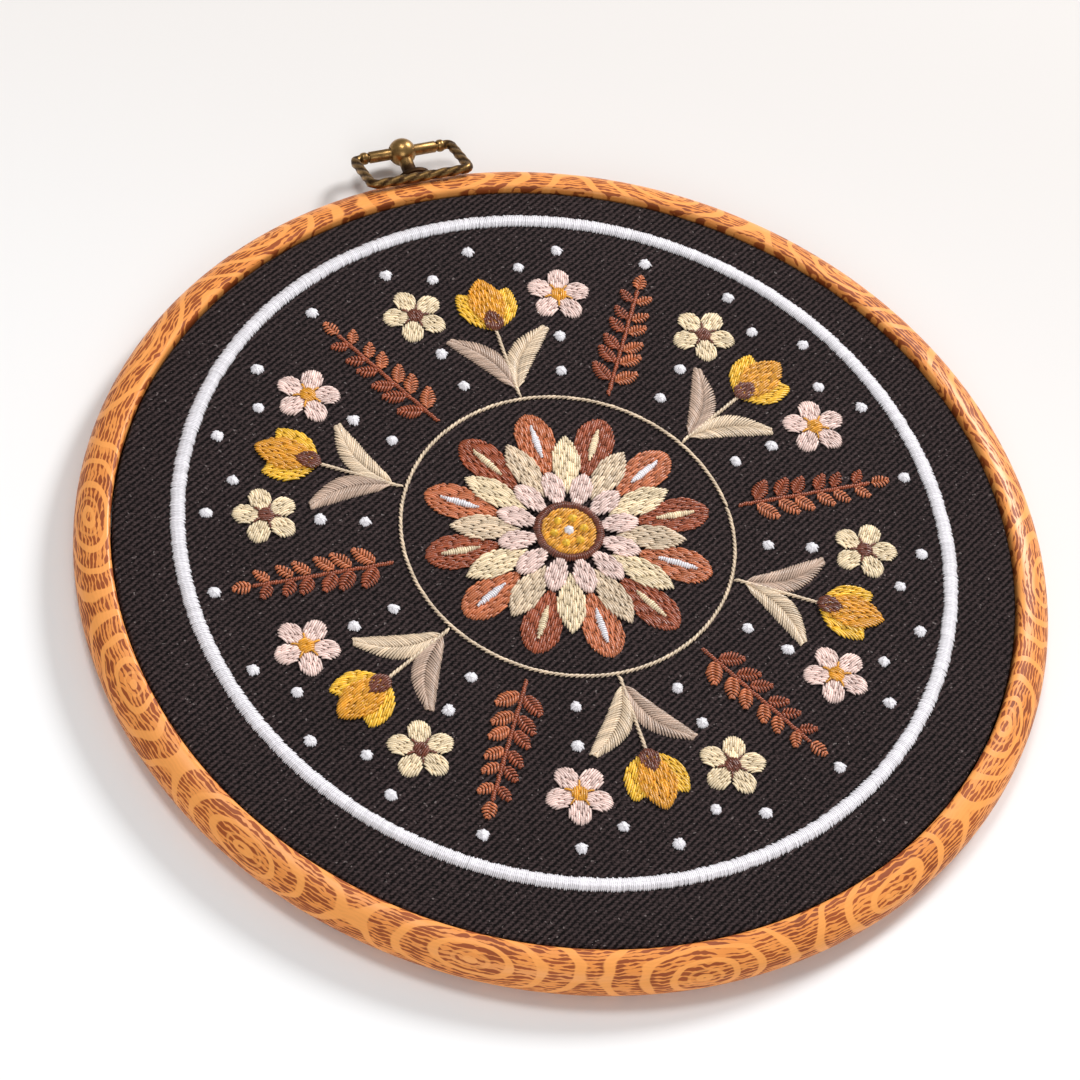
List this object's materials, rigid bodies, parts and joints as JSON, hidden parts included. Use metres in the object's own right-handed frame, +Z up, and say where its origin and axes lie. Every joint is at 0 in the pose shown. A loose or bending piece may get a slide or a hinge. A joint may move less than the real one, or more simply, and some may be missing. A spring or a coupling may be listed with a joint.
{
  "type": "hoop embroidery art in an embroidery hoop",
  "caption": "Embroidered cloth stretched in a round hoop: a soft outer ring over a stiff inner ring, with a ball stud on the rim and a wire bail that swings to hang it.",
  "frame": {"origin": "under the middle of the whole object, on the surface it lies on", "axes": "+Z up out of the cloth's face, +Y from the hoop's middle to the hanger, +X to the right of the face"},
  "size_m": [0.1642, 0.1742, 0.0093],
  "materials": {
    "vinyl_ring": "soft vinyl with a printed wood grain, glossy",
    "stiff_ring": "plain moulded plastic, matt",
    "twill": "black cotton twill, matt, with stitched thread on its face",
    "thread": "embroidery thread with a soft sheen",
    "hanger_brass": "aged brass, brown in its hollows"
  },
  "bodies": {
    "hoop": {"outer_ring": "vinyl_ring", "inner_ring": "stiff_ring", "cloth": "twill", "stud": "hanger_brass"},
    "bail": {"bail": "hanger_brass"}
  },
  "joints": [
    {"name": "bail_swing", "type": "hinge", "parent": "hoop", "child": "bail", "pos_m": [0, 0.0846, 0.004], "axis": [-1, 0, 0], "range_deg": [0, 309]}
  ]
}
